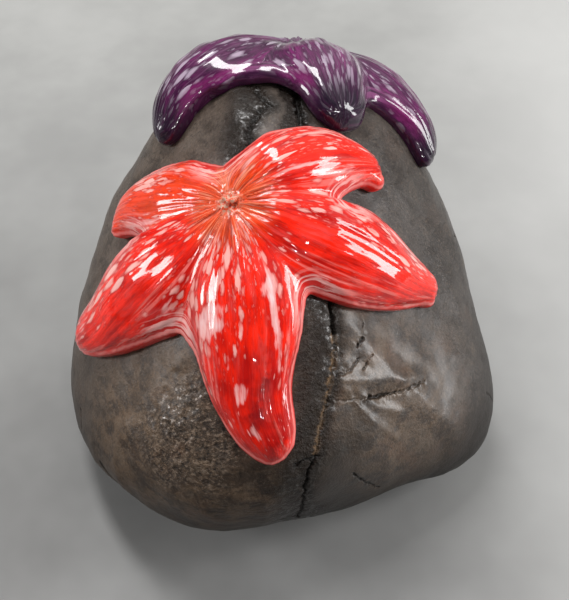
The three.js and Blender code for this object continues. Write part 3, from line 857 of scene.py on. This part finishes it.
def notchPlaces(star):
    toward, right, uphill = starAxes(star)
    places = []
    for index, arm in enumerate(star["arms"]):
        after = star["arms"][(index + 1) % len(star["arms"])]
        across = (after["heading"] - arm["heading"]) % 360
        across += sway(arm, arm["web"] / arm["reach"]) + sway(after, arm["web"] / after["reach"])
        heading, reach = math.radians(arm["heading"] + across / 2), math.radians(arm["web"])
        aside = right * math.cos(heading) + uphill * math.sin(heading)
        way = toward * math.cos(reach) + aside * math.sin(reach)
        places.append(np.array(stoneTree.ray_cast(Vector(stoneMiddle), Vector(way))[0]))
    return places


def seat(points):                                 # height over the stone, and the way up from it
    hits = [stoneTree.find_nearest(Vector(point)) for point in points]
    spots = np.array([hit[0] for hit in hits])
    ups = np.array([hit[1] for hit in hits])
    return np.einsum("ij,ij->i", points - spots, ups), ups


def makeStar(star):
    shape = starShape
    piece = copyNodes(star["name"], star["nodes"])
    reskin(piece, **star["skin"])
    points = readPoints(piece)
    height, ups = seat(points)
    points = points - ups * (shape["sink"] * (1 - smooth(height, *shape["sinkHeight"])))[:, None]
    movePoints(piece, points)
    normals = readPoints(piece, "normal")
    owner, over, share, reach = layOut(star, points)
    facing = np.einsum("ij,ij->i", normals, ups)
    rimSpots = points[(np.abs(facing) < shape["upright"]) & (height < shape["rimHeight"])]
    edge = np.where(facing > shape["upright"], nearest(rimSpots, points)[1], 0)
    core = reach * arc

    # the flow: round the star in lanes, wider up the flanks, and outwards
    lanes = owner + 0.5 + 0.5 * np.clip(over, -shape["laneLimit"], shape["laneLimit"])
    lane = np.radians(lanes * 360 / len(star["arms"]))
    upFlank = np.minimum(edge, shape["flankReach"]) / shape["flankReach"]
    girth = shape["laneCells"] + upFlank * shape["flankCells"]
    flow = np.stack([girth * np.cos(lane), girth * np.sin(lane), core / shape["laneLength"]], axis=1)
    notch = np.min([np.linalg.norm(points - place, axis=1) for place in notchPlaces(star)], axis=0)

    # folds run out from the middle, ribs along the arms, and low lumps lie anywhere
    fold = np.zeros(len(points))
    for tall, fine, more in shape["folds"]:
        fold += waves(flow * np.array(fine), 1, tall, star["seed"] + more)
    fold *= bell(core, shape["foldMiddle"], shape["foldMiddle"]) * smooth(core, *shape["foldStart"])
    rise = star["flutes"] * fold
    ribs = waves(flow * np.array(shape["ribs"]), 1, star["ribs"], star["seed"] + shape["ribSeed"])
    rise += ribs * smooth(core, *shape["ribStart"])
    rise += waves(points, shape["lumpSize"], star["lumps"], star["seed"] + shape["lumpSeed"])
    # the pucker at the middle
    navel = star["navel"]
    rise -= navel["depth"] * bell(core, 0, navel["radius"])
    knob = 1 + waves(points, *shape["knob"], star["seed"] + shape["knobSeed"])
    rise += navel["knob"] * bell(core, 0, navel["knobRadius"]) * knob
    # a shallow groove inside the rolled rim
    rise -= star["rim"] * (bell(edge, *shape["groove"]) - shape["lipShare"] * bell(edge, *shape["lip"]))
    top = smooth(facing, *shape["top"])
    movePoints(piece, points + normals * (rise * top)[:, None])

    byNotch = 1 - smooth(notch, shape["notchStart"] * star["notch"], star["notch"])
    warm = 1 - smooth(core, *shape["warmCore"])
    warmArm = shape["warmArmCover"] * (owner == star["warmArm"]) * smooth(share, *shape["warmShare"])
    paint(piece, "flow", flow)
    paint(piece, "edge", edge / mm)
    paint(piece, "core", core / mm)
    paint(piece, "share", share)
    paint(piece, "fold", fold)
    paint(piece, "notch", byNotch * (1 - smooth(edge, *shape["notchEdge"])))
    paint(piece, "flank", smooth(np.abs(over), *shape["flankOver"]) * smooth(core, *shape["flankStart"]))
    paint(piece, "warm", np.maximum(warm, warmArm))
    for kind in ("flecks", "veilsAndHighlights", "deep"):
        paint(piece, kind, marks(star, kind, points, owner, over, share))
    return piece


# What both glasses share: a coloured body under a clear coat. A drawn noise is its fineness over,
# round and along an arm, its detail, roughness and distortion.
glassLook = {
    "shader": {"Roughness": 0.3, "Coat_Weight": 1.0, "Coat_Roughness": 0.055, "Coat_IOR": 1.45,
               "Specular_IOR_Level": 0.08},
    "fleckShakes": ((1.3, 0.45), (4, 0.12)), "fleckRoundness": 1.7, "fleckLeast": 0.3, "fleckMore": 1.1,
    "fleckBorder": 0.2, "haloBorder": 0.12, "haloWidth": 1.6,
    "bandsOut": 0.55, "bandsAlong": 0.04, "bandNoise": (4, 0.62, 0.5), "bandShake": (150, 3),
    "bandShakeShare": 0.16, "bandRange": (0.46, 0.57), "bandCover": 0.95,
    "waves": ((1.6, 1.6, 0.5), 2), "waveRelief": (0.0012, 0.3),
    "ripples": ((4.5, 4.5, 0.7), 3, 0.6), "rippleRelief": (0.0006, 0.3),
}


def flecks(glass, flow, fineness, size, amount):  # soft spots drawn out along the flow, few of them large
    look = glassLook
    for finer, shift in look["fleckShakes"]:
        flow = glass.shake(flow, finer * fineness, shift)
    away = glass.cells(flow, fineness, look["fleckRoundness"])
    chance = glass.channel(glass.cells(flow, fineness, look["fleckRoundness"], out="Color"), "Red")
    limit = size * (look["fleckLeast"] + look["fleckMore"] * chance * chance) * (1 + amount)
    spots = (limit - away) / look["fleckBorder"]
    halo = (limit - away) / look["haloBorder"] + look["haloWidth"]
    return spots.clipped(), halo.clipped(), chance


def bandedNotch(glass, colour, tones):            # streaks that bend round each notch, beside the edge
    look = glassLook
    out = [glass.attribute("edge") * look["bandsOut"], glass.attribute("core") * look["bandsAlong"], 0.0]
    bands = glass.noise(glass.add("ShaderNodeCombineXYZ", {}, out), 1, *look["bandNoise"])
    bands = bands + look["bandShakeShare"] * (glass.noise(glass.place(), *look["bandShake"]) - 0.5)
    tone = glass.mix(bands.between(*look["bandRange"]), *tones)
    return glass.mix(glass.attribute("notch") * look["bandCover"], colour, tone)


def drawnWaves(glass, flow):                      # the surface is drawn out in fine long waves
    look = glassLook
    normal = glass.relief(glass.drawnNoise(flow, *look["waves"]), *look["waveRelief"])
    return glass.relief(glass.drawnNoise(flow, *look["ripples"]), *look["rippleRelief"], normal)


# The red glass. A coat is its tone and how well it covers, a range is where it comes in and where
# it is complete, and pairs of tones are the darker and the paler one. Edge and core are in mm.
redLook = {
    # deep red, brighter where the colour lies thick, orange at the middle and marbled dark
    "bodyNoise": ((0.6, 0.6, 0.5), 3), "bodyRange": (0.32, 0.56),
    "bodyTones": ((0.55, 0.004, 0.0015), (1.0, 0.016, 0.002)),
    "warm": ((0.9, 0.1, 0.016), 0.75),
    "marbleNoise": (130, 3), "marbleRange": (0.4, 0.62), "marbleLeast": 0.45, "marbleMore": 0.8,
    "marble": (0.25, 0.002, 0.003),
    # soft rosy clouds, long streaks along the flanks, and fine dark hairlines
    "grown": (5, 18),
    "cloudNoise": ((1.1, 1.1, 1.0), 3, 0.5, 0.4), "cloudShift": (3, 1, 2), "cloudRange": (0.54, 0.68),
    "clouds": ((0.66, 0.05, 0.045), 0.5),
    "brushNoise": ((3.2, 3.2, 0.5), 3, 0.5, 0.3), "brushRange": (0.54, 0.72),
    "brush": (0.92, 0.16, 0.12), "brushCover": 0.3, "brushGrown": 0.2,
    "flankNoise": ((1.5, 1.5, 0.24), 3, 0.5, 0.2),
    "paleFlank": ((0.92, 0.22, 0.19), 0.6), "paleFlankRange": (0.53, 0.63),
    "darkFlank": ((0.5, 0.005, 0.005), 0.6), "darkFlankRange": (0.47, 0.4),
    "hairNoise": ((4.2, 4.2, 0.6), 2), "hairNear": (0.5, 0.03),
    "hair": (0.3, 0.008, 0.008), "hairCover": 0.25, "hairGrown": 0.1,
    # pale flecks as fineness, size and cover, the larger ones with a dark halo, partly an outline and partly
    # painted shade round them
    "tinyFlecks": (3.1, 0.3), "tiny": ((0.95, 0.3, 0.24), 0.35),
    "flecks": ((2.3, 0.34, 0.55), (1.45, 0.42, 0.8), (1.0, 0.46, 0.95)),
    "halo": ((0.42, 0.006, 0.006), 0.3), "fleckTones": ((0.93, 0.2, 0.16), (0.96, 0.5, 0.45)),
    "fleckLeast": 0.25, "fleckUngrown": 0.25,
    # broad pale veils with ragged, brushed borders, partly milky glass and partly painted highlight, and
    # bands round the notches
    "veilNoise": ((1.8, 1.8, 1.0), 4), "veilRagged": 1.2, "veilRange": (0.4, 0.66), "veilCover": 0.9,
    "veilBrush": (0.35, 0.6), "veilLeast": 0.6, "veilMiddle": (0.6, 1.1),
    "veilTones": ((0.92, 0.42, 0.4), (0.95, 0.74, 0.75)),
    "notchTones": ((0.66, 0.008, 0.005), (0.95, 0.48, 0.45)),
    # threads and folds run out of the pucker, which is lumpy, cream and grey; the fold valleys get painted
    # shade and the fold crests a painted highlight
    "valleys": ((0.32, 0.03, 0.015), 0.7), "valleyRange": (-0.1, -0.6),
    "crests": ((0.92, 0.3, 0.16), 0.35), "crestRange": (0.15, 0.7),
    "threadNoise": ((2.6, 2.6, 0.4), 2, 0.5, 0.2), "threadStart": (2, 6), "threadEnd": (11, 22),
    "paleThreads": ((0.92, 0.34, 0.2), 0.6), "paleThreadRange": (0.56, 0.64),
    "darkThreads": ((0.2, 0.014, 0.01), 0.6), "darkThreadNear": (0.53, 0.03),
    "puckerEnd": (2.5, 6.5), "lumpNoise": (620, 3, 0.6),
    "paleLumps": ((0.68, 0.46, 0.34), 0.85), "paleLumpRange": (0.45, 0.56),
    "darkLumps": ((0.14, 0.02, 0.012), 0.8), "darkLumpRange": (0.46, 0.36),
    # the rolled rim and the flanks below it are a darker red, partly the clearer glass of the rim and partly
    # painted shade on the lower edges, with one thin pale line inside it
    "rimEnd": (1.6, 4.0), "rim": ((0.72, 0.03, 0.025), 0.75),
    "lineNear": (2.2, 1.0), "lineNoise": (60, 2), "lineRange": (0.3, 0.5), "line": ((0.9, 0.28, 0.25), 0.65),
}


def redGlass():
    look = redLook
    glass = Sheet("red glass", **glassLook["shader"])
    place = glass.place()
    flow = glass.attribute("flow", "Vector")
    edge = glass.attribute("edge")
    core = glass.attribute("core")
    flank = glass.attribute("flank")
    grown = core.between(*look["grown"])

    body = glass.drawnNoise(flow, *look["bodyNoise"]).between(*look["bodyRange"])
    colour = glass.mix(body, *look["bodyTones"])
    colour = glass.lay(colour, glass.attribute("warm"), look["warm"])
    marble = glass.noise(place, *look["marbleNoise"]).between(*look["marbleRange"])
    marble = glass.attribute("deep").clipped() * (look["marbleLeast"] + look["marbleMore"] * marble)
    colour = glass.mix(marble.clipped(), colour, look["marble"])

    cloud = glass.drawnNoise(flow, *look["cloudNoise"], shift=look["cloudShift"])
    colour = glass.lay(colour, cloud.between(*look["cloudRange"]) * grown, look["clouds"])
    brush = glass.drawnNoise(flow, *look["brushNoise"])
    brushed = brush.between(*look["brushRange"]) * (look["brushCover"] - look["brushGrown"] * grown)
    colour = glass.mix(brushed, colour, look["brush"])
    drawn = glass.drawnNoise(flow, *look["flankNoise"])
    colour = glass.lay(colour, drawn.between(*look["paleFlankRange"]) * flank, look["paleFlank"])
    colour = glass.lay(colour, drawn.between(*look["darkFlankRange"]) * flank, look["darkFlank"])
    hair = glass.drawnNoise(flow, *look["hairNoise"]).near(*look["hairNear"])
    colour = glass.mix(hair * (look["hairCover"] - look["hairGrown"] * grown), colour, look["hair"])

    amount = glass.attribute("flecks")
    colour = glass.lay(colour, flecks(glass, flow, *look["tinyFlecks"], amount)[0], look["tiny"])
    for fineness, size, cover in look["flecks"]:
        spots, halo, chance = flecks(glass, flow, fineness, size, amount)
        colour = glass.lay(colour, halo * grown, look["halo"])
        spots = spots * cover * atLeast(look["fleckLeast"], chance) * atLeast(look["fleckUngrown"], grown)
        colour = glass.mix(spots, colour, glass.mix(chance, *look["fleckTones"]))

    # pale veils: partly milky glass, partly painted highlight where a window would reflect
    ragged = look["veilRagged"] * (glass.drawnNoise(flow, *look["veilNoise"]) - 0.5)
    ragged = glass.attribute("veilsAndHighlights") + ragged
    veil = ragged.between(*look["veilRange"]) * atLeast(look["veilLeast"], brush.between(*look["veilBrush"]))
    milkAndHighlight = glass.mix(ragged.between(*look["veilMiddle"]), *look["veilTones"])
    colour = glass.mix(veil * look["veilCover"], colour, milkAndHighlight)
    colour = bandedNotch(glass, colour, look["notchTones"])

    # painted shade in the fold valleys and painted highlight on the fold crests
    fold = glass.attribute("fold")
    colour = glass.lay(colour, fold.between(*look["valleyRange"]), look["valleys"])
    colour = glass.lay(colour, fold.between(*look["crestRange"]), look["crests"])
    thread = glass.drawnNoise(flow, *look["threadNoise"])
    spun = core.between(*look["threadStart"]) * (1 - core.between(*look["threadEnd"]))
    colour = glass.lay(colour, thread.between(*look["paleThreadRange"]) * spun, look["paleThreads"])
    colour = glass.lay(colour, thread.near(*look["darkThreadNear"]) * spun, look["darkThreads"])
    lump = glass.noise(place, *look["lumpNoise"])
    pucker = 1 - core.between(*look["puckerEnd"])
    colour = glass.lay(colour, pucker * lump.between(*look["paleLumpRange"]), look["paleLumps"])
    colour = glass.lay(colour, pucker * lump.between(*look["darkLumpRange"]), look["darkLumps"])

    # darker red on the rim and flanks: partly clearer glass, partly painted shade
    colour = glass.lay(colour, 1 - edge.between(*look["rimEnd"]), look["rim"])
    broken = glass.noise(place, *look["lineNoise"]).between(*look["lineRange"])
    colour = glass.lay(colour, edge.near(*look["lineNear"]) * broken, look["line"])
    glass.feed(Base_Color=colour, Normal=drawnWaves(glass, flow))
    return glass.material


# The purple glass, told as the red one is.
purpleLook = {
    "bodyNoise": ((0.6, 0.6, 0.5), 3), "bodyRange": (0.3, 0.7),
    "bodyTones": ((0.055, 0.007, 0.044), (0.185, 0.022, 0.125)),
    "brushNoise": ((3.6, 3.6, 0.5), 3, 0.5, 0.3), "brushRange": (0.5, 0.68),
    "brush": ((0.24, 0.12, 0.21), 0.35),
    "hairNoise": ((5, 5, 0.6), 2), "hairNear": (0.5, 0.045), "hair": ((0.014, 0.004, 0.016), 0.6),
    "fleckStretch": (1.1, 1.1, 0.95), "flecks": ((2.6, 0.34, 0.5), (1.7, 0.42, 0.75), (1.15, 0.44, 0.85)),
    # a dark halo round the larger flecks, partly an outline and partly painted shade
    "halo": ((0.025, 0.004, 0.024), 0.35), "fleckTones": ((0.24, 0.12, 0.22), (0.5, 0.4, 0.5)),
    "fleckLeast": 0.2,
    "veil": ((0.27, 0.15, 0.24), 1), "veilBrush": (0.4, 0.6), "veilLeast": 0.3,
    # the glow of thin glass low on the flanks
    "glow": ((0.2, 0.015, 0.115), 0.6), "glowNear": (4.5, 4.5), "glowEnd": (0.7, 0.9),
    "glowRange": (0.35, 0.6),
    "notchTones": ((0.035, 0.005, 0.03), (0.2, 0.05, 0.15)),
    # painted shade in the fold valleys and painted highlight on the fold crests
    "valleys": ((0.02, 0.008, 0.02), 0.7), "valleyRange": (-0.1, -0.6),
    "crests": ((0.25, 0.18, 0.25), 0.5), "crestRange": (0.1, 0.7),
    "pucker": ((0.17, 0.12, 0.17), 0.5), "puckerEnd": (2, 10),
    # nearly black at the tips and along the very edge
    "tips": ((0.008, 0.004, 0.013), 0.92), "tipStart": (0.7, 0.92), "tipBrush": (0.6, 0.45), "tipLeast": 0.8,
    "rim": ((0.03, 0.004, 0.026), 0.6), "rimEnd": (0.6, 2.2),
}


def purpleGlass():
    look = purpleLook
    glass = Sheet("purple glass", **glassLook["shader"])
    flow = glass.attribute("flow", "Vector")
    edge = glass.attribute("edge")
    core = glass.attribute("core")
    share = glass.attribute("share")

    body = glass.drawnNoise(flow, *look["bodyNoise"])
    brush = glass.drawnNoise(flow, *look["brushNoise"])
    hair = glass.drawnNoise(flow, *look["hairNoise"])
    colour = glass.mix(body.between(*look["bodyRange"]), *look["bodyTones"])
    colour = glass.lay(colour, brush.between(*look["brushRange"]), look["brush"])
    colour = glass.lay(colour, hair.near(*look["hairNear"]), look["hair"])

    drawn = glass.stretch(flow, look["fleckStretch"])
    amount = glass.attribute("flecks")
    for fineness, size, cover in look["flecks"]:
        spots, halo, chance = flecks(glass, drawn, fineness, size, amount)
        colour = glass.lay(colour, halo, look["halo"])
        pale = glass.mix(chance, *look["fleckTones"])
        colour = glass.mix(spots * cover * atLeast(look["fleckLeast"], chance), colour, pale)
    veil = glass.attribute("veilsAndHighlights") * atLeast(look["veilLeast"], brush.between(*look["veilBrush"]))
    colour = glass.lay(colour, veil, look["veil"])

    glow = edge.near(*look["glowNear"]) * (1 - share.between(*look["glowEnd"]))
    glow = glow * body.between(*look["glowRange"])
    colour = glass.lay(colour, glow, look["glow"])
    colour = bandedNotch(glass, colour, look["notchTones"])
    fold = glass.attribute("fold")
    colour = glass.lay(colour, fold.between(*look["valleyRange"]), look["valleys"])
    colour = glass.lay(colour, fold.between(*look["crestRange"]), look["crests"])
    colour = glass.lay(colour, 1 - core.between(*look["puckerEnd"]), look["pucker"])
    tips = share.between(*look["tipStart"]) * atLeast(look["tipLeast"], brush.between(*look["tipBrush"]))
    colour = glass.lay(colour, tips, look["tips"])
    colour = glass.lay(colour, 1 - edge.between(*look["rimEnd"]), look["rim"])
    glass.feed(Base_Color=colour, Normal=drawnWaves(glass, flow))
    return glass.material


for star, finish in ((redStar, redGlass), (purpleStar, purpleGlass)):
    starSkin = makeStar(star)
    finishPiece(starSkin, star["slot"], finish(), *star["nodes"])
